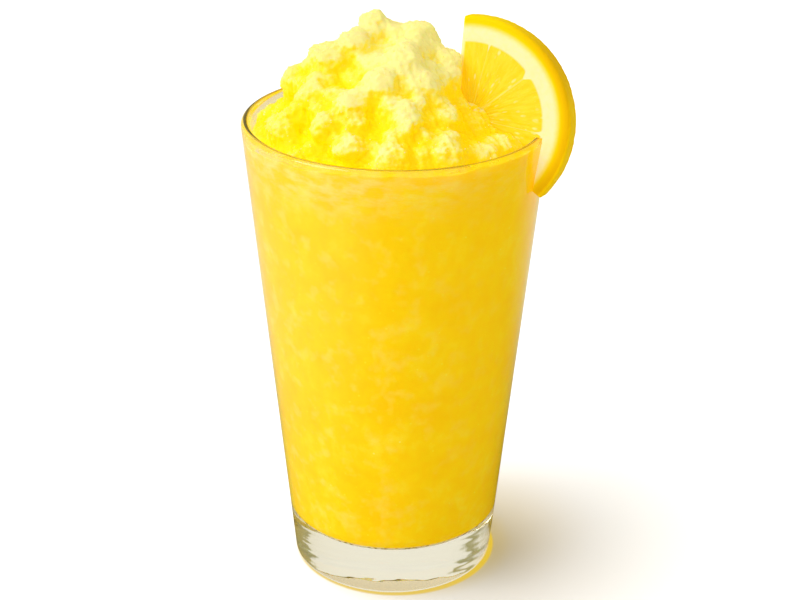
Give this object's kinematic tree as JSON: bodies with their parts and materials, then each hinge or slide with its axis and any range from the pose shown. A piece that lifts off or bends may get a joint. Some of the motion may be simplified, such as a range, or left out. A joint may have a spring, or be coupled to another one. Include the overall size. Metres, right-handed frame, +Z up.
{
  "type": "glass of slush",
  "caption": "Tall conical clear glass filled with yellow crushed-ice slush, heaped above the rim, with a piece of citrus slice slotted over the rim.",
  "frame": {"origin": "middle of the flat underside of the glass, on the glass's own axis", "axes": "+Z up along the glass's axis, +X towards the side where the slice hangs, -Y towards the slice's cut face and the viewer"},
  "size_m": [0.0939, 0.0878, 0.1726],
  "materials": {
    "glass": "clear, polished, thick in the base",
    "slush": "wet, grainy crushed ice in yellow syrup",
    "citrus": "juicy yellow flesh, pale pith and a waxy pored rind"
  },
  "bodies": {
    "root": {"glass": "glass", "slush": "slush", "citrus_slice": "citrus"}
  },
  "joints": []
}
